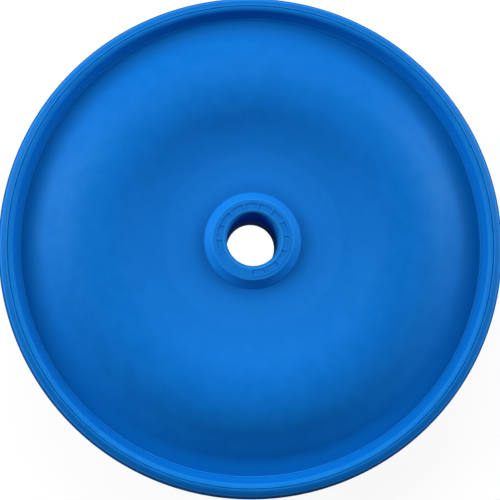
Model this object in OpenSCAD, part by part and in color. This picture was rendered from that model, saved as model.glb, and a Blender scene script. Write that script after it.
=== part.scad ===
// Moulded pump diaphragm, one piece of blue elastomer: a thin disc that rolls over
// a raised ring, a clamping bead round its rim and a bolt sleeve at its centre.
// Z = 0 is the back end of the sleeve and +Z is the wetted front face.

/* [Rim bead] */
// Diameter over the bead
outer_d = 96; // [90:0.5:110]
// Height of the bead from its flat back to its crown
bead_h = 5.8; // [5.4:0.1:7]
// Crown radius on the outer side of the bead
crown_outer_r = 2.3; // [1.6:0.1:2.8]
// Crown radius on the inner side of the bead
crown_inner_r = 1; // [0.6:0.1:1.3]
// Height of the crown above the foot of the inner wall
bead_rise = 2.3; // [1.9:0.05:2.6]
// Slope of the inner wall from the flat, in degrees
bead_wall_slope = 68; // [55:1:75]
// Radius of the outer corner at the back of the bead
bead_back_r = 1.2; // [0.4:0.1:1.8]
// Radius of the inner corner at the back of the bead
bead_heel_r = 0.4; // [0.2:0.05:0.5]
// Radius of the fillet between the bead and the back of the membrane
heel_fillet_r = 0.4; // [0.2:0.05:0.5]
// Width and twice the depth of the fine mould line along the crown
crown_line_w = 0.26; // [0.1:0.02:0.5]

/* [Membrane] */
// Thickness of the membrane
membrane_t = 2.5; // [1.8:0.1:3.2]
// Diameter of the flat floor round the boss
floor_d = 23; // [21:0.1:26]
// Diameter of the roll at its crest
crest_d = 59.7; // [58.5:0.1:63]
// Radius of the hollow between the floor and the roll
dish_r = 27; // [20:0.5:28.5]
// Radius of the roll on the side towards the hub
roll_inner_r = 14.5; // [10:0.5:16]
// Radius of the roll on the side towards the rim
roll_outer_r = 13.8; // [10:0.2:16]
// Slope of the roll's flank towards the hub, in degrees
roll_inner_slope = 25; // [18:0.5:26]
// Slope of the roll's flank towards the rim, in degrees
roll_outer_slope = 30.5; // [26:0.5:34]
// Radius at which the roll runs out into the valley inside the bead
valley_r = 5; // [3:0.1:6]
// Width of the valley's level bottom, up to the foot of the bead
valley_w = 2.1; // [1.2:0.1:2.6]

/* [Hub] */
// Length of the hub from its front face to the back end of the sleeve
hub_len = 17; // [14:0.5:24]
// Bore for the clamping bolt
bore_d = 10; // [6:0.1:12]
// Radius of the lip at the front mouth of the bore
lip_r = 0.7; // [0.3:0.1:1]
// Chamfer at the back mouth of the bore
mouth_chamfer = 0.5; // [0.2:0.1:1]
// Height of the front boss above the dish
boss_h = 1.8; // [1.2:0.05:2.5]
// Diameter of the front boss at its foot
boss_foot_d = 18.6; // [17.8:0.1:21]
// Diameter of the front face of the boss
boss_face_d = 15.4; // [14.8:0.1:16.4]
// Radius of the rounded edge of the front face
boss_edge_r = 0.3; // [0.1:0.05:0.5]
// Radius of the fillet at the foot of the boss
boss_fillet_r = 0.4; // [0.2:0.05:0.6]
// Diameter of the sleeve behind the membrane
sleeve_d = 20; // [17:0.1:24]
// Radius of the fillet between the sleeve and the membrane
sleeve_fillet_r = 2.5; // [1:0.1:4]
// Radius of the outer corner at the back end of the sleeve
sleeve_edge_r = 0.8; // [0.3:0.1:1.4]

/* [Hidden] */
$fn = 160;
// Largest gap between a true arc of the section and the chords that draw it
arc_sag = 0.005;
// Facets of the small round tool that cuts the mould line
line_fn = 24;

bore_rad = bore_d / 2;
sleeve_rad = sleeve_d / 2;
boss_foot_rad = boss_foot_d / 2;
boss_face_rad = boss_face_d / 2;
boss_slope = atan2(boss_h, boss_foot_rad - boss_face_rad);
floor_z = hub_len - boss_h;

// The bead's crown and the foot of its inner wall, found from the rim inwards
rim_rad = outer_d / 2;
crown_rad = rim_rad - crown_outer_r;
wall_rise = bead_rise - crown_inner_r * (1 - cos(bead_wall_slope));
foot_rad = crown_rad - crown_inner_r * sin(bead_wall_slope) - wall_rise / tan(bead_wall_slope);

// The roll is two arcs that meet level at its crest. Its straight flanks take up the
// room that these leave between the floor and the valley
floor_rad = floor_d / 2;
crest_rad = crest_d / 2;
valley_rad = foot_rad - valley_w;
inner_flank_w = crest_rad - floor_rad - (dish_r + roll_inner_r) * sin(roll_inner_slope);
outer_flank_w = valley_rad - crest_rad - (roll_outer_r + valley_r) * sin(roll_outer_slope);

// Centres of the four arcs, outwards from the floor
dish_c = [floor_rad, floor_z + dish_r];
inner_c = dish_c - (dish_r + roll_inner_r) * normal(-roll_inner_slope)
    + inner_flank_w * [1, tan(roll_inner_slope)];
outer_c = inner_c + [0, roll_inner_r - roll_outer_r];
valley_c = outer_c + (roll_outer_r + valley_r) * normal(roll_outer_slope)
    + outer_flank_w * [1, -tan(roll_outer_slope)];

// Heights of the bead, which stands on the level bottom of the valley
valley_z = valley_c.y - valley_r;
crown_z = valley_z + bead_rise;
bead_back_z = crown_z - bead_h;

// Fillet between the sleeve and the back of the membrane, which it meets in the floor
// or, where the sleeve is wide, in the dish
neck_rad = sleeve_rad + sleeve_fillet_r;
neck_arc_r = dish_r + membrane_t + sleeve_fillet_r;
neck_slope = -asin(max(0, neck_rad - floor_rad) / neck_arc_r);
neck_c = [neck_rad, dish_c.y - neck_arc_r * cos(neck_slope)];

// The section is drawn clockwise. A surface that falls by an angle going outwards has
// its normal tipped by that angle from +Z, and its travel is square to the normal.
function normal(angle) = [sin(angle), cos(angle)];
function travel(angle) = [cos(angle), -sin(angle)];

// Arc from one surface angle to another; a negative radius makes it hollow
function arc(centre, radius, start, end) =
    let (turn = 2 * acos(1 - arc_sag / abs(radius)))
    let (steps = max(2, ceil(abs(end - start) / turn)))
    [for (i = [0:steps]) centre + radius * normal(start + (end - start) * i / steps)];

// Rounded corner at a point between two straight edges
function corner(point, radius, start, end) =
    let (reach = abs(radius) * tan(abs(end - start) / 2))
    let (centre = point - reach * travel(start) - radius * normal(start))
    arc(centre, radius, start, end);

function reversed(points) = [for (i = [len(points) - 1:-1:0]) points[i]];

// Face of the membrane at a depth below its front, from a first surface angle to the
// level bottom of the valley
function membrane_face(depth, start) = concat(
    arc(dish_c, -dish_r - depth, start, -roll_inner_slope),
    arc(inner_c, roll_inner_r - depth, -roll_inner_slope, 0),
    arc(outer_c, roll_outer_r - depth, 0, roll_outer_slope),
    arc(valley_c, -valley_r - depth, roll_outer_slope, 0)
);

// Front of the hub, from the bore over the lip and down the boss to the floor
function boss_outline() = concat(
    corner([bore_rad, hub_len], lip_r, -90, 0),
    corner([boss_face_rad, hub_len], boss_edge_r, 0, boss_slope),
    corner([boss_foot_rad, floor_z], -boss_fillet_r, boss_slope, 0)
);

// Bead, from its inner wall over the crown and round to the heel behind
function bead_outline() = concat(
    [[foot_rad, valley_z]],
    arc([crown_rad, crown_z - crown_inner_r], crown_inner_r, -bead_wall_slope, 0),
    arc([crown_rad, crown_z - crown_outer_r], crown_outer_r, 0, 90),
    corner([rim_rad, bead_back_z], bead_back_r, 90, 180),
    corner([foot_rad, bead_back_z], bead_heel_r, 180, 270),
    corner([foot_rad, valley_z - membrane_t], -heel_fillet_r, 270, 180)
);

// Sleeve, from the fillet under the membrane round to the back mouth of the bore
function sleeve_outline() = concat(
    arc(neck_c, -sleeve_fillet_r, 180 + neck_slope, 90),
    corner([sleeve_rad, 0], sleeve_edge_r, 90, 180),
    [[bore_rad + mouth_chamfer, 0], [bore_rad, mouth_chamfer]]
);

module section() {
    polygon(concat(
        boss_outline(),
        membrane_face(0, 0),
        bead_outline(),
        reversed(membrane_face(membrane_t, neck_slope)),
        sleeve_outline()
    ));
}

// Fine line that the mould leaves along the crown of the bead
module crown_line() {
    rotate_extrude()
        translate([crown_rad, crown_z])
            circle(d = crown_line_w, $fn = line_fn);
}

module diaphragm() {
    color("#1670cc")
        difference() {
            rotate_extrude()
                section();
            crown_line();
        }
}

diaphragm();
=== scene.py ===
"""A moulded pump diaphragm of blue elastomer, seen from its wetted front face."""
import math

import bpy
from mathutils import Matrix, Vector


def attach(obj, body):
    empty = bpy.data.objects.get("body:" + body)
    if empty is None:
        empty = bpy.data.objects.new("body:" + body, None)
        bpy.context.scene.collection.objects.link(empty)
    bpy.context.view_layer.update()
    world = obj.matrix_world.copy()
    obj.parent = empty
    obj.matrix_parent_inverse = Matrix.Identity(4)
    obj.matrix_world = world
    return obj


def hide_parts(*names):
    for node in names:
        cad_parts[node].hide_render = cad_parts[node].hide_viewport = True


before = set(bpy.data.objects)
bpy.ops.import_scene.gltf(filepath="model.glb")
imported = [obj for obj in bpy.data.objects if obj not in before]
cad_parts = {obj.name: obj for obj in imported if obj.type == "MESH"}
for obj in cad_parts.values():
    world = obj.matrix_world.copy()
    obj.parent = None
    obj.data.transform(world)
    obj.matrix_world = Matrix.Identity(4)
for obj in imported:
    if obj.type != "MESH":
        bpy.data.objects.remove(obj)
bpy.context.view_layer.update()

MM = 0.001

# Rim bead
OUTER_D = 96 * MM
BEAD_H = 5.8 * MM
CROWN_OUTER_R = 2.3 * MM
CROWN_INNER_R = 1 * MM
BEAD_RISE = 2.3 * MM
BEAD_WALL_SLOPE = 68
BEAD_BACK_R = 1.2 * MM
BEAD_HEEL_R = 0.4 * MM
HEEL_FILLET_R = 0.4 * MM
CROWN_LINE_W = 0.26 * MM

# Membrane, with a slightly gentler outer flank and narrower valley than the CAD solid
MEMBRANE_T = 2.5 * MM
FLOOR_D = 23 * MM
CREST_D = 59.7 * MM
DISH_R = 27 * MM
ROLL_INNER_R = 14.5 * MM
ROLL_OUTER_R = 13.8 * MM
ROLL_INNER_SLOPE = 25
ROLL_OUTER_SLOPE = 26.4
VALLEY_R = 5 * MM
VALLEY_W = 1.5 * MM

# Hub
HUB_LEN = 17 * MM
BORE_D = 10 * MM
LIP_R = 0.7 * MM
MOUTH_CHAMFER = 0.5 * MM
BOSS_H = 1.8 * MM
BOSS_FOOT_D = 18.6 * MM
BOSS_FACE_D = 15.4 * MM
BOSS_EDGE_R = 0.3 * MM
BOSS_FILLET_R = 0.4 * MM
SLEEVE_D = 20 * MM
SLEEVE_FILLET_R = 2.5 * MM
SLEEVE_EDGE_R = 0.8 * MM

# Fine ridge that the mould leaves at the foot of the bead's inner wall, and where it ends up the wall
RIDGE_W = 0.2 * MM
RIDGE_H = 0.09 * MM
RIDGE_END = 1.6 * RIDGE_H

# Date ring moulded into the face of the boss, with its cells in degrees
CELL_COUNT = 12
CELL_PITCH = 24.8
FIRST_CELL = 205
RIB_W = 0.24 * MM
RIB_H = 0.075 * MM
POCKET_IN = 5.85 * MM
POCKET_OUT = 6.75 * MM
POCKET_DEPTH = 0.1 * MM
POCKET_WALL = 0.04 * MM
POCKET_STEPS = 9
OUTER_RIB_RAD = 7.05 * MM
OUTER_RIB_W = 0.2 * MM

# Mesh: steps round the axis, and the least angle in degrees that shades as an edge
SEGMENTS = 600
SHARP_ANGLE = 32

# Paints of the elastomer, in linear light
BLUE_DEEP = (0.0030, 0.158, 0.596)
BLUE_LIGHT = (0.0046, 0.173, 0.634)
# Partly painted light: lighter floor round the boss, and the face of the boss
FLOOR_BLUE = (0.0085, 0.188, 0.665)
# Painted shade: darker floor round the foot of the boss, where the boss casts its shadow
FOOT_SHADE_BLUE = (0.0008, 0.095, 0.400)
# Painted light: lighter flank of the boss and rim of the bore, where light catches them
PAINTED_LIGHT_BLUE = (0.0070, 0.215, 0.730)
# Painted shade in the deep mouth of the bore
MOUTH_SHADE_BLUE = (0.0008, 0.045, 0.190)
# Painted reflection: greyish far end of the bore
BORE_END_REFLECTION_GREY = (0.09, 0.26, 0.42)
# Painted shade in the valley and on the bead, and painted light on the wall between them
VALLEY_SHADE_BLUE = (0.0005, 0.119, 0.468)
WALL_LIGHT_BLUE = (0.0018, 0.159, 0.600)
BEAD_SHADE_BLUE = (0.0018, 0.147, 0.558)
RING_BLUE = (0.0020, 0.125, 0.500)
# Painted shade and a painted highlight along the parting line on the bead
PARTING_SHADE_BLUE = (0.0020, 0.055, 0.220)
PARTING_HIGHLIGHT = (0.0150, 0.230, 0.760)
# Painted highlight on convex edges and on the tops of the ribs
EDGE_HIGHLIGHT_BLUE = (0.0160, 0.300, 0.860)
# Darker speckle in the skin, and painted shade in hollows
SPECKLE_AND_HOLLOW_SHADE_BLUE = (0.0010, 0.110, 0.480)

# Radii at which the paints begin and end
ZONE_EDGE = 0.15 * MM
MOUTH_RAD = 5.5 * MM
FOOT_SHADE_RAD = 12.6 * MM
FLOOR_STEP_RAD = 17.1 * MM
FLOOR_STEP_W = 0.7 * MM
FLOOR_FADE_RAD = 28.5 * MM
VALLEY_START_RAD = 37.5 * MM
VALLEY_FULL_RAD = 44 * MM
WALL_START_RAD = 44.05 * MM
WALL_FULL_RAD = 44.25 * MM
BEAD_START_RAD = 45.1 * MM
BEAD_FULL_RAD = 45.7 * MM
RING_START_RAD = 45.8 * MM
RING_FULL_RAD = 46.2 * MM
DULL_START_RAD = 46.6 * MM
DULL_FULL_RAD = 47.3 * MM

# Heights in the bore, and heights of the parting line above the widest ring of the bead
MOUTH_DEPTH = 0.8 * MM
BORE_GREY_FROM = 8 * MM
BORE_GREY_FULL = 5.5 * MM
PARTING_LOW = 1.1 * MM
PARTING_HIGH = 1.5 * MM
PARTING_HIGHLIGHT_LOW = 1.78 * MM
PARTING_HIGHLIGHT_HIGH = 1.88 * MM

# How far the paints cover what is below them
FLOOR_STEP_SHARE = 0.5
FOOT_SHADE_SHARE = 0.5
RING_SHARE = 0.7
SPECKLE_SHARE = 0.13
EDGE_HIGHLIGHT_SHARE = 0.7
EDGE_HIGHLIGHT_LEAST = 0.6
HOLLOW_SHADE_SHARE = 0.25

# Span of each noise or edge value over which its paint or finish comes in
CLOUD_SPAN = (0.3, 0.7)
SPECKLE_SPAN = (0.3, 0.7)
STREAK_SPAN = (0.2, 0.8)
EDGE_SPAN = (0.05, 0.9)
HOLLOW_SHADE_SPAN = (-0.05, -0.9)
DULL_SPAN = (0.25, 0.75)

# Edge values: the reach of a bend along the surface, and the value on top of the ribs, which gives them
# painted highlight
EDGE_REACH = 0.5 * MM
RIB_EDGE = 0.5

# Gloss and roughness
GLOSS = 0.11
GLOSS_TINT = (0.28, 1.0, 0.6)
ROUGH_LOW = 0.45
ROUGH_HIGH = 0.55
DULL_ROUGH = 0.95

# Grain: noise scales in cells a metre, then depth and strength of each bump
CLOUD_SCALE = 380
STREAK_SCALE = 260
SKIN_SCALE = 1700
SKIN_DEPTH = 0.03 * MM
SKIN_BUMP = 0.5
RIPPLE_SCALE = 420
RIPPLE_DEPTH = 0.05 * MM
RIPPLE_BUMP = 0.35
RING_PITCH = 0.42 * MM
RING_DEPTH = 0.012 * MM
RING_BUMP = 0.3
WAVE_AT_ONE = math.tau / 20

# Table: its size and paint, and how white it looks near the object and under the bore
TABLE_HALF = 2.0
TABLE_PAINT = (0.8, 0.8, 0.8, 1)
TABLE_SHADE = (0.2, 0.2, 0.2, 1)
TABLE_NEAR = 0.87
TABLE_FAR_RAD = 4 * OUTER_D
CARD_RAD = 7 * MM
WHITE = (1, 1, 1, 1)
FILL = 0.01

# Soft boxes: how far away they stand, and how wide they are
BOX_FAR = 0.6
WIDE_BOX = 0.34
NARROW_BOX = 0.28

# Camera: the rim and the image in pixels, and where the photograph was taken from
RIM_PX = 502.2
IMAGE_PX = 500
PX = OUTER_D / RIM_PX
CAMERA_DISTANCE = 715 * PX
CAMERA_TILT = 7.15
CAMERA_SIDE = 17
AIM_LEFT = 2.8 * PX
AIM_BELOW = 9.8 * PX
SENSOR_W = 36
CLIP_START = 0.01


def normal(angle):
    """Unit vector tipped by an angle in degrees from up towards the rim."""
    return Vector((math.sin(math.radians(angle)), math.cos(math.radians(angle))))


def travel(angle):
    """Unit vector along a surface that falls by an angle in degrees going outwards."""
    return Vector((math.cos(math.radians(angle)), -math.sin(math.radians(angle))))


def tan(angle):
    """Tangent of an angle in degrees."""
    return math.tan(math.radians(angle))


def asin(ratio):
    """Angle in degrees whose sine is a ratio."""
    return math.degrees(math.asin(ratio))


def arc(centre, radius, start, end, steps):
    """Arc between two surface angles; a negative radius makes it hollow."""
    turns = [start + (end - start) * i / steps for i in range(steps + 1)]
    return [centre + radius * normal(turn) for turn in turns]


def corner(point, radius, start, end, steps):
    """Rounded corner at a point between two straight edges."""
    reach = abs(radius) * math.tan(math.radians(abs(end - start)) / 2)
    centre = Vector(point) - reach * travel(start) - radius * normal(start)
    return arc(centre, radius, start, end, steps)


# Boss and bead: radii and heights that follow from the sizes
FLOOR_Z = HUB_LEN - BOSS_H
BOSS_SLOPE = math.degrees(math.atan2(BOSS_H, (BOSS_FOOT_D - BOSS_FACE_D) / 2))
RIM_RAD = OUTER_D / 2
CROWN_RAD = RIM_RAD - CROWN_OUTER_R
WALL_TURN = normal(-BEAD_WALL_SLOPE)
WALL_RISE = BEAD_RISE - CROWN_INNER_R * (1 - WALL_TURN.y)
WALL_FOOT_RAD = CROWN_RAD + CROWN_INNER_R * WALL_TURN.x - WALL_RISE / tan(BEAD_WALL_SLOPE)

# Membrane: centres of its four arcs, outwards from the floor
FLOOR_RAD = FLOOR_D / 2
CREST_RAD = CREST_D / 2
VALLEY_RAD = WALL_FOOT_RAD - VALLEY_W
INNER_TURN = normal(-ROLL_INNER_SLOPE)
OUTER_TURN = normal(ROLL_OUTER_SLOPE)
INNER_FLANK_W = CREST_RAD - FLOOR_RAD + (DISH_R + ROLL_INNER_R) * INNER_TURN.x
OUTER_FLANK_W = VALLEY_RAD - CREST_RAD - (ROLL_OUTER_R + VALLEY_R) * OUTER_TURN.x
DISH_C = Vector((FLOOR_RAD, FLOOR_Z + DISH_R))
INNER_C = (DISH_C - (DISH_R + ROLL_INNER_R) * INNER_TURN
           + INNER_FLANK_W * Vector((1, tan(ROLL_INNER_SLOPE))))
OUTER_C = INNER_C + Vector((0, ROLL_INNER_R - ROLL_OUTER_R))
VALLEY_C = (OUTER_C + (ROLL_OUTER_R + VALLEY_R) * OUTER_TURN
            + OUTER_FLANK_W * Vector((1, -tan(ROLL_OUTER_SLOPE))))

# Heights of the bead, which stands on the level bottom of the valley
VALLEY_Z = VALLEY_C.y - VALLEY_R
CROWN_Z = VALLEY_Z + BEAD_RISE
WIDEST_Z = CROWN_Z - CROWN_OUTER_R
BEAD_BACK_Z = CROWN_Z - BEAD_H

# Fillet between the sleeve and the back of the membrane
NECK_RAD = SLEEVE_D / 2 + SLEEVE_FILLET_R
NECK_ARC_R = DISH_R + MEMBRANE_T + SLEEVE_FILLET_R
NECK_SLOPE = -asin(max(0, NECK_RAD - FLOOR_RAD) / NECK_ARC_R)
NECK_C = Vector((NECK_RAD, DISH_C.y - NECK_ARC_R * normal(NECK_SLOPE).y))


def membrane_face(depth, start, steps):
    """Face of the membrane at a depth below its front, from a first surface angle to the valley."""
    return (arc(DISH_C, -DISH_R - depth, start, -ROLL_INNER_SLOPE, steps)
            + arc(INNER_C, ROLL_INNER_R - depth, -ROLL_INNER_SLOPE, 0, steps)
            + arc(OUTER_C, ROLL_OUTER_R - depth, 0, ROLL_OUTER_SLOPE, steps)[1:]
            + arc(VALLEY_C, -VALLEY_R - depth, ROLL_OUTER_SLOPE, 0, steps))


def boss_flank():
    """From the rounded edge of the boss face down to the floor."""
    return (corner((BOSS_FACE_D / 2, HUB_LEN), BOSS_EDGE_R, 0, BOSS_SLOPE, steps=4)
            + corner((BOSS_FOOT_D / 2, FLOOR_Z), -BOSS_FILLET_R, BOSS_SLOPE, 0, steps=4))


def foot_ridge():
    """Ridge just inside the foot of the bead's wall, which it meets a little way up."""
    foot = Vector((WALL_FOOT_RAD, VALLEY_Z))
    shares = ((1, 0), (0.75, 0.7), (0.4, 1), (0.05, 0.95))
    ridge = [foot + Vector((-inwards * RIDGE_W, up * RIDGE_H)) for inwards, up in shares]
    return ridge + [foot + RIDGE_END * Vector((1 / tan(BEAD_WALL_SLOPE), 1))]


def bead():
    """Bead from its inner wall over the crown, with the mould line, and round to the heel."""
    line_r = CROWN_LINE_W / 2
    line_in = -2 * asin(line_r / (2 * CROWN_INNER_R))
    line_out = 2 * asin(line_r / (2 * CROWN_OUTER_R))
    crown = Vector((CROWN_RAD, CROWN_Z))
    inner_c = crown - Vector((0, CROWN_INNER_R))
    outer_c = crown - Vector((0, CROWN_OUTER_R))
    return (foot_ridge()
            + arc(inner_c, CROWN_INNER_R, -BEAD_WALL_SLOPE, line_in, steps=6)
            + arc(crown, -line_r, 90 + line_in, line_out - 90, steps=6)[1:-1]
            + arc(outer_c, CROWN_OUTER_R, line_out, 90, steps=12)
            + corner((RIM_RAD, BEAD_BACK_Z), BEAD_BACK_R, 90, 180, steps=6)
            + corner((WALL_FOOT_RAD, BEAD_BACK_Z), BEAD_HEEL_R, 180, 270, steps=3)
            + corner((WALL_FOOT_RAD, VALLEY_Z - MEMBRANE_T), -HEEL_FILLET_R, 270, 180, steps=3))


def sleeve():
    """Sleeve from the fillet under the membrane round to the back mouth of the bore."""
    return (arc(NECK_C, -SLEEVE_FILLET_R, 180 + NECK_SLOPE, 90, steps=7)
            + corner((SLEEVE_D / 2, 0), SLEEVE_EDGE_R, 90, 180, steps=5)
            + [Vector((BORE_D / 2 + MOUTH_CHAMFER, 0)), Vector((BORE_D / 2, MOUTH_CHAMFER))])


def section():
    """Closed outline of the section as radius and height, with the boss face's span."""
    lip = corner((BORE_D / 2, HUB_LEN), LIP_R, -90, 0, steps=9)
    face = [Vector((rad, HUB_LEN)) for rad in face_rings()]
    front = membrane_face(0, 0, steps=8)
    back = membrane_face(MEMBRANE_T, NECK_SLOPE, steps=6)[:0:-1]
    outline = lip + face + boss_flank() + front + bead() + back + sleeve()
    return outline, len(lip), len(lip) + len(face)


def face_rings():
    """Radii of the rings across the date ring, close together at each wall."""
    span = POCKET_OUT - POCKET_IN - 2 * POCKET_WALL
    floor = [POCKET_IN + POCKET_WALL + span * i / POCKET_STEPS for i in range(POCKET_STEPS + 1)]
    outer_rib = [OUTER_RIB_RAD + OUTER_RIB_W * quarter / 4 for quarter in (-2, -1, 0, 1, 2)]
    return ([POCKET_IN - 2 * POCKET_WALL, POCKET_IN - POCKET_WALL, POCKET_IN] + floor
            + [POCKET_OUT, POCKET_OUT + POCKET_WALL] + outer_rib)


def relief(rad, angle):
    """Height of the date ring above the boss face at a radius and an angle."""
    turn = (FIRST_CELL - angle) % 360
    if turn > CELL_COUNT * CELL_PITCH or rad < POCKET_IN - POCKET_WALL * 1.5:
        return 0.0
    if abs(rad - OUTER_RIB_RAD) < OUTER_RIB_W / 3:
        return RIB_H
    into_cell = turn % CELL_PITCH
    to_edge = math.radians(min(into_cell, CELL_PITCH - into_cell)) * rad
    if to_edge < RIB_W / 2:
        return RIB_H if rad < OUTER_RIB_RAD else 0.0
    in_pocket = POCKET_IN - POCKET_WALL / 2 < rad < POCKET_OUT + POCKET_WALL / 2
    return -POCKET_DEPTH if in_pocket else 0.0


def edge_turns(outline):
    """How sharply the outline turns at each point: up to 1 on an edge, down to -1 in a hollow."""
    turns = []
    for index, here in enumerate(outline):
        came = here - outline[index - 1]
        goes = outline[(index + 1) % len(outline)] - here
        bend = came.angle_signed(goes) / ((came.length + goes.length) / 2)
        turns.append(max(-1.0, min(1.0, bend * EDGE_REACH)))
    return turns


def lathe(name, outline, face_start, face_end):
    """Closed ring mesh turned from an outline, with the relief on its face rings."""
    verts = []
    edges = []
    turns = edge_turns(outline)
    for index, (rad, height) in enumerate(outline):
        on_face = face_start <= index < face_end
        for step in range(SEGMENTS):
            angle = 360 * step / SEGMENTS
            lift = relief(rad, angle) if on_face else 0.0
            turn = math.radians(angle)
            verts.append((rad * math.cos(turn), rad * math.sin(turn), height + lift))
            edges.append(turns[index] + max(lift, 0) / RIB_H * RIB_EDGE)
    faces = []
    rings = len(outline)
    for ring in range(rings):
        here = ring * SEGMENTS
        there = (ring + 1) % rings * SEGMENTS
        for step in range(SEGMENTS):
            after = (step + 1) % SEGMENTS
            faces.append((here + step, there + step, there + after, here + after))
    mesh = bpy.data.meshes.new(name)
    mesh.from_pydata(verts, [], faces)
    mesh.attributes.new("edge", "FLOAT", "POINT").data.foreach_set("value", edges)
    mesh.shade_smooth()
    mesh.set_sharp_from_angle(angle=math.radians(SHARP_ANGLE))
    piece = bpy.data.objects.new(name, mesh)
    bpy.context.scene.collection.objects.link(piece)
    return piece


def node(tree, kind, **values):
    """Shader node with some of its properties or input sockets set."""
    made = tree.nodes.new(kind)
    for key, value in values.items():
        if hasattr(made, key):
            setattr(made, key, value)
        else:
            made.inputs[key.replace("_", " ")].default_value = value
    return made


def noise(tree, place, scale, detail):
    """Soft noise from 0 to 1 at a number of cells a metre."""
    made = node(tree, "ShaderNodeTexNoise", Scale=scale, Detail=detail, Roughness=0.55)
    tree.links.new(place, made.inputs["Vector"])
    return made.outputs["Fac"]


def fit(tree, value, low, high, to_low=0, to_high=1):
    """Value mapped smoothly from one range to another and held at its ends."""
    made = node(tree, "ShaderNodeMapRange", interpolation_type="SMOOTHSTEP",
                From_Min=low, From_Max=high, To_Min=to_low, To_Max=to_high)
    tree.links.new(value, made.inputs["Value"])
    return made.outputs["Result"]


def times(tree, value, other):
    """Product of two values."""
    made = node(tree, "ShaderNodeMath", operation="MULTIPLY")
    tree.links.new(value, made.inputs[0])
    tree.links.new(other, made.inputs[1])
    return made.outputs[0]


def plus(tree, value, other):
    """Sum of two values."""
    made = node(tree, "ShaderNodeMath", operation="ADD")
    tree.links.new(value, made.inputs[0])
    tree.links.new(other, made.inputs[1])
    return made.outputs[0]


def blend(tree, mask, below, above):
    """Mix of two colours by a mask; each is a colour or a socket that carries one."""
    made = node(tree, "ShaderNodeMix", data_type="RGBA")
    tree.links.new(mask, made.inputs["Factor"])
    for colour, name in ((below, "A"), (above, "B")):
        socket = next(s for s in made.inputs if s.name == name and s.type == "RGBA")
        if isinstance(colour, tuple):
            socket.default_value = (*colour, 1)
        else:
            tree.links.new(colour, socket)
    return next(s for s in made.outputs if s.type == "RGBA")


def distance_out(tree, place):
    """Distance out from the axis."""
    across = node(tree, "ShaderNodeVectorMath", operation="MULTIPLY")
    across.inputs[1].default_value = (1, 1, 0)
    out = node(tree, "ShaderNodeVectorMath", operation="LENGTH")
    tree.links.new(place, across.inputs[0])
    tree.links.new(across.outputs["Vector"], out.inputs[0])
    return out.outputs["Value"]


def height_up(tree, place):
    """Height above the back end of the sleeve."""
    split = node(tree, "ShaderNodeSeparateXYZ")
    tree.links.new(place, split.inputs[0])
    return split.outputs["Z"]


def front_side(tree, height):
    """Mask of the front of the object, whose lowest place is the floor round the boss."""
    return fit(tree, height, FLOOR_Z - MEMBRANE_T / 2, FLOOR_Z - MEMBRANE_T / 10)


def inside(tree, outwards, rad):
    """Mask of what lies inside a radius, with a soft edge."""
    return fit(tree, outwards, rad, rad - ZONE_EDGE)


def band(tree, value, low, high):
    """Mask of the values from low to high, with soft ends."""
    return times(tree, fit(tree, value, low - ZONE_EDGE, low), fit(tree, value, high + ZONE_EDGE, high))


def mould_rings(tree, place):
    """Fine rings that the turned mould leaves, from 0 to 1."""
    rings = node(tree, "ShaderNodeTexWave", wave_type="RINGS", rings_direction="Z",
                 Scale=WAVE_AT_ONE / RING_PITCH, Distortion=1.2, Detail=2, Detail_Scale=0.2)
    tree.links.new(place, rings.inputs["Vector"])
    return rings.outputs["Fac"]


def floor_paint(tree, outwards, front, tint):
    """Lighter floor round the boss, partly painted light, which ends at a faint step and fades, and painted
    shade round the boss's foot.
    """
    half_step = FLOOR_STEP_W / 2
    step = fit(tree, outwards, FLOOR_STEP_RAD - half_step, FLOOR_STEP_RAD + half_step, FLOOR_STEP_SHARE, 0)
    fade = fit(tree, outwards, FLOOR_STEP_RAD, FLOOR_FADE_RAD, 1 - FLOOR_STEP_SHARE, 0)
    tint = blend(tree, times(tree, plus(tree, step, fade), front), tint, FLOOR_BLUE)
    # Painted shade round the foot of the boss
    foot = fit(tree, outwards, FOOT_SHADE_RAD, BOSS_FOOT_D / 2, 0, FOOT_SHADE_SHARE)
    return blend(tree, times(tree, foot, front), tint, FOOT_SHADE_BLUE)


def boss_paint(tree, outwards, front, tint):
    """Flank of the boss lightened with painted light, and its face in the floor's lighter paint."""
    tint = blend(tree, times(tree, inside(tree, outwards, BOSS_FOOT_D / 2), front), tint, PAINTED_LIGHT_BLUE)
    return blend(tree, times(tree, inside(tree, outwards, BOSS_FACE_D / 2), front), tint, FLOOR_BLUE)


def bore_paint(tree, outwards, height, front, tint):
    """Painted highlight on the rim of the bore, painted shade in its mouth and a painted grey reflection at
    its far end.
    """
    rim = inside(tree, outwards, BORE_D / 2 + LIP_R)
    tint = blend(tree, times(tree, rim, front), tint, PAINTED_LIGHT_BLUE)
    top = fit(tree, height, HUB_LEN - 2 * MOUTH_DEPTH, HUB_LEN - MOUTH_DEPTH)
    tint = blend(tree, times(tree, inside(tree, outwards, MOUTH_RAD), top), tint, MOUTH_SHADE_BLUE)
    deep = fit(tree, height, BORE_GREY_FROM, BORE_GREY_FULL)
    return blend(tree, times(tree, deep, rim), tint, BORE_END_REFLECTION_GREY)


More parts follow.
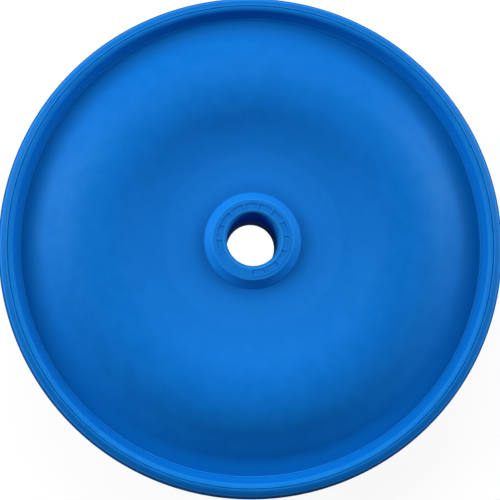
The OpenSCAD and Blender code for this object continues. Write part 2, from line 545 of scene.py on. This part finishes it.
def rim_paint(tree, outwards, height, rings, tint):
    """Painted shade in the valley and on the bead, painted light on the wall, the mould rings, and painted
    shade and highlight along the parting line on the outer flank.
    """
    # Painted shade in the valley and on the bead, painted light on the wall
    zones = ((VALLEY_START_RAD, VALLEY_FULL_RAD, VALLEY_SHADE_BLUE), (WALL_START_RAD, WALL_FULL_RAD, WALL_LIGHT_BLUE),
             (BEAD_START_RAD, BEAD_FULL_RAD, BEAD_SHADE_BLUE))
    for start, full, colour in zones:
        tint = blend(tree, fit(tree, outwards, start, full), tint, colour)
    ringed = fit(tree, outwards, RING_START_RAD, RING_FULL_RAD, 0, RING_SHARE)
    tint = blend(tree, times(tree, ringed, rings), tint, RING_BLUE)
    flank = fit(tree, outwards, RING_START_RAD, RING_FULL_RAD)
    # Painted shade in a dark band, then a painted highlight line, along the parting line
    dark = band(tree, height, WIDEST_Z + PARTING_LOW, WIDEST_Z + PARTING_HIGH)
    tint = blend(tree, times(tree, dark, flank), tint, PARTING_SHADE_BLUE)
    light = band(tree, height, WIDEST_Z + PARTING_HIGHLIGHT_LOW, WIDEST_Z + PARTING_HIGHLIGHT_HIGH)
    return blend(tree, times(tree, light, flank), tint, PARTING_HIGHLIGHT)


def speckle_and_edge_shading(tree, skin, streaks, tint):
    """Speckle in the skin, painted highlights on edges and rib tops, and painted shade in hollows."""
    edge = node(tree, "ShaderNodeAttribute", attribute_name="edge").outputs["Fac"]
    tint = blend(tree, fit(tree, skin, *SPECKLE_SPAN, SPECKLE_SHARE, 0), tint, SPECKLE_AND_HOLLOW_SHADE_BLUE)
    # Painted highlight on convex edges, uneven along them
    edge_highlight = fit(tree, edge, *EDGE_SPAN, 0, EDGE_HIGHLIGHT_SHARE)
    uneven = fit(tree, streaks, *STREAK_SPAN, EDGE_HIGHLIGHT_LEAST, 1)
    tint = blend(tree, times(tree, edge_highlight, uneven), tint, EDGE_HIGHLIGHT_BLUE)
    # Painted shade in hollows
    return blend(tree, fit(tree, edge, *HOLLOW_SHADE_SPAN, 0, HOLLOW_SHADE_SHARE), tint, SPECKLE_AND_HOLLOW_SHADE_BLUE)


def dullness(tree, outwards, streaks):
    """Roughness: a little uneven, and dull in the bore and on the outer flank of the bead."""
    rough = node(tree, "ShaderNodeMix", data_type="FLOAT", B=DULL_ROUGH)
    in_bore = fit(tree, outwards, BORE_D / 2 + LIP_R, BORE_D / 2)
    at_rim = fit(tree, outwards, DULL_START_RAD, DULL_FULL_RAD)
    tree.links.new(plus(tree, in_bore, at_rim), rough.inputs["Factor"])
    tree.links.new(fit(tree, streaks, *DULL_SPAN, ROUGH_LOW, ROUGH_HIGH), rough.inputs["A"])
    return rough.outputs["Result"]


def bumps(tree, ripple, rings, skin):
    """Normal of the moulded skin: soft ripples, mould rings and fine grain."""
    layers = ((ripple, RIPPLE_DEPTH, RIPPLE_BUMP), (rings, RING_DEPTH, RING_BUMP),
              (skin, SKIN_DEPTH, SKIN_BUMP))
    below = None
    for grain, depth, strength in layers:
        bump = node(tree, "ShaderNodeBump", Strength=strength, Distance=depth)
        tree.links.new(grain, bump.inputs["Height"])
        if below:
            tree.links.new(below, bump.inputs["Normal"])
        below = bump.outputs["Normal"]
    return below


def elastomer():
    """Satin blue elastomer: moulded skin and faint clouding, with painted light and shade in zones, painted
    highlights on edges and a lighter floor that is partly painted light.
    """
    material = bpy.data.materials.new("blue_elastomer")
    material.use_nodes = True
    tree = material.node_tree
    shader = tree.nodes["Principled BSDF"]
    shader.inputs["Specular IOR Level"].default_value = GLOSS
    shader.inputs["Specular Tint"].default_value = (*GLOSS_TINT, 1)

    place = node(tree, "ShaderNodeTexCoord").outputs["Object"]
    outwards = distance_out(tree, place)
    height = height_up(tree, place)
    clouds = noise(tree, place, CLOUD_SCALE, detail=4)
    streaks = noise(tree, place, STREAK_SCALE, detail=2)
    skin = noise(tree, place, SKIN_SCALE, detail=3)
    ripple = noise(tree, place, RIPPLE_SCALE, detail=1)
    rings = mould_rings(tree, place)
    front = front_side(tree, height)

    tint = blend(tree, fit(tree, clouds, *CLOUD_SPAN), BLUE_DEEP, BLUE_LIGHT)
    tint = floor_paint(tree, outwards, front, tint)
    tint = boss_paint(tree, outwards, front, tint)
    tint = bore_paint(tree, outwards, height, front, tint)
    tint = rim_paint(tree, outwards, height, rings, tint)
    tint = speckle_and_edge_shading(tree, skin, streaks, tint)
    tree.links.new(tint, shader.inputs["Base Color"])
    tree.links.new(dullness(tree, outwards, streaks), shader.inputs["Roughness"])
    tree.links.new(bumps(tree, ripple, rings, skin), shader.inputs["Normal"])
    return material


def seen_clear(tree):
    """One where the camera sees a surface straight, in a reflection or through glass."""
    path = node(tree, "ShaderNodeLightPath")
    straight = path.outputs["Is Camera Ray"]
    for way in ("Is Glossy Ray", "Is Transmission Ray"):
        either = node(tree, "ShaderNodeMath", operation="MAXIMUM")
        tree.links.new(straight, either.inputs[0])
        tree.links.new(path.outputs[way], either.inputs[1])
        straight = either.outputs[0]
    return straight


def white_table():
    """Floor that the camera sees as white and that still takes a faint shadow."""
    material = bpy.data.materials.new("white_table")
    material.use_nodes = True
    tree = material.node_tree
    tree.nodes.clear()
    out = node(tree, "ShaderNodeOutputMaterial")
    paint = node(tree, "ShaderNodeBsdfDiffuse", Color=TABLE_PAINT)
    shade = node(tree, "ShaderNodeBsdfDiffuse", Color=TABLE_SHADE)
    shine = node(tree, "ShaderNodeEmission", Color=WHITE)
    both = node(tree, "ShaderNodeAddShader")
    pick = node(tree, "ShaderNodeMixShader")
    outwards = distance_out(tree, node(tree, "ShaderNodeTexCoord").outputs["Object"])
    under = fit(tree, outwards, CARD_RAD, SLEEVE_D / 2, 1, TABLE_NEAR)
    far = fit(tree, outwards, OUTER_D, TABLE_FAR_RAD, 0, 1 - TABLE_NEAR)
    tree.links.new(plus(tree, under, far), shine.inputs["Strength"])
    tree.links.new(shine.outputs[0], both.inputs[0])
    tree.links.new(shade.outputs[0], both.inputs[1])
    tree.links.new(seen_clear(tree), pick.inputs[0])
    tree.links.new(paint.outputs[0], pick.inputs[1])
    tree.links.new(both.outputs[0], pick.inputs[2])
    tree.links.new(pick.outputs[0], out.inputs["Surface"])
    return material


def table():
    """Wide floor that the sleeve's end rests on."""
    corners = [(x * TABLE_HALF, y * TABLE_HALF, 0) for x, y in ((-1, -1), (1, -1), (1, 1), (-1, 1))]
    mesh = bpy.data.meshes.new("table")
    mesh.from_pydata(corners, [], [(0, 1, 2, 3)])
    floor = bpy.data.objects.new("table", mesh)
    bpy.context.scene.collection.objects.link(floor)
    mesh.materials.append(white_table())


def camera():
    """Camera at the photograph's distance and angle."""
    centre = Vector((0, 0, WIDEST_Z))
    tilt = math.radians(CAMERA_TILT)
    side = math.radians(CAMERA_SIDE)
    away = Vector((-math.sin(tilt) * math.sin(side), -math.sin(tilt) * math.cos(side), math.cos(tilt)))
    aim = centre - Vector((AIM_LEFT, AIM_BELOW, 0))
    data = bpy.data.cameras.new("camera")
    data.sensor_width = SENSOR_W
    data.lens = SENSOR_W * CAMERA_DISTANCE / PX / IMAGE_PX
    data.clip_start = CLIP_START
    made = bpy.data.objects.new("camera", data)
    made.location = centre + CAMERA_DISTANCE * away
    back = (made.location - aim).normalized()
    right = Vector((0, 1, 0)).cross(back).normalized()
    up = back.cross(right)
    made.rotation_euler = Matrix((right, up, back)).transposed().to_euler()
    bpy.context.scene.collection.objects.link(made)
    bpy.context.scene.camera = made


def lamp(name, azimuth, elevation, power, distance=BOX_FAR, size=NARROW_BOX):
    """Square soft light that faces the object from a compass azimuth and a height, in degrees."""
    data = bpy.data.lights.new(name, "AREA")
    data.shape = "SQUARE"
    data.size = size
    data.energy = power
    made = bpy.data.objects.new(name, data)
    around = math.radians(azimuth)
    above = math.radians(elevation)
    away = Vector((math.sin(around) * math.cos(above), math.cos(around) * math.cos(above), math.sin(above)))
    made.location = away * distance
    made.rotation_euler = away.to_track_quat("Z", "Y").to_euler()
    bpy.context.scene.collection.objects.link(made)


def lights():
    """Soft boxes round the object, brightest at the upper left and the upper right."""
    lamp("upper_left", azimuth=288, elevation=28, power=2.93, size=WIDE_BOX)
    lamp("upper_right", azimuth=70, elevation=28, power=1.95, size=WIDE_BOX)
    lamp("top", azimuth=0, elevation=45, power=0.97)
    lamp("low_right", azimuth=62, elevation=12, power=0.88)
    lamp("right", azimuth=105, elevation=12, power=0.24)
    lamp("close_left", azimuth=300, elevation=50, power=0.07, distance=0.25, size=0.12)


def surroundings():
    """World: soft fill on the object, white behind it for the camera."""
    world = bpy.data.worlds.new("studio")
    bpy.context.scene.world = world
    world.use_nodes = True
    tree = world.node_tree
    fill = tree.nodes["Background"]
    fill.inputs["Color"].default_value = WHITE
    fill.inputs["Strength"].default_value = FILL
    white = node(tree, "ShaderNodeBackground", Color=WHITE, Strength=1.0)
    pick = node(tree, "ShaderNodeMixShader")
    tree.links.new(seen_clear(tree), pick.inputs[0])
    tree.links.new(fill.outputs[0], pick.inputs[1])
    tree.links.new(white.outputs[0], pick.inputs[2])
    tree.links.new(pick.outputs[0], tree.nodes["World Output"].inputs["Surface"])


def diaphragm():
    """The whole object, one moulding that stands for the CAD solid."""
    piece = lathe("diaphragm_moulding", *section())
    piece.data.materials.append(elastomer())
    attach(piece, "root")
    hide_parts("diaphragm")


bpy.context.scene.view_settings.view_transform = "Standard"
camera()
lights()
surroundings()
table()
diaphragm()
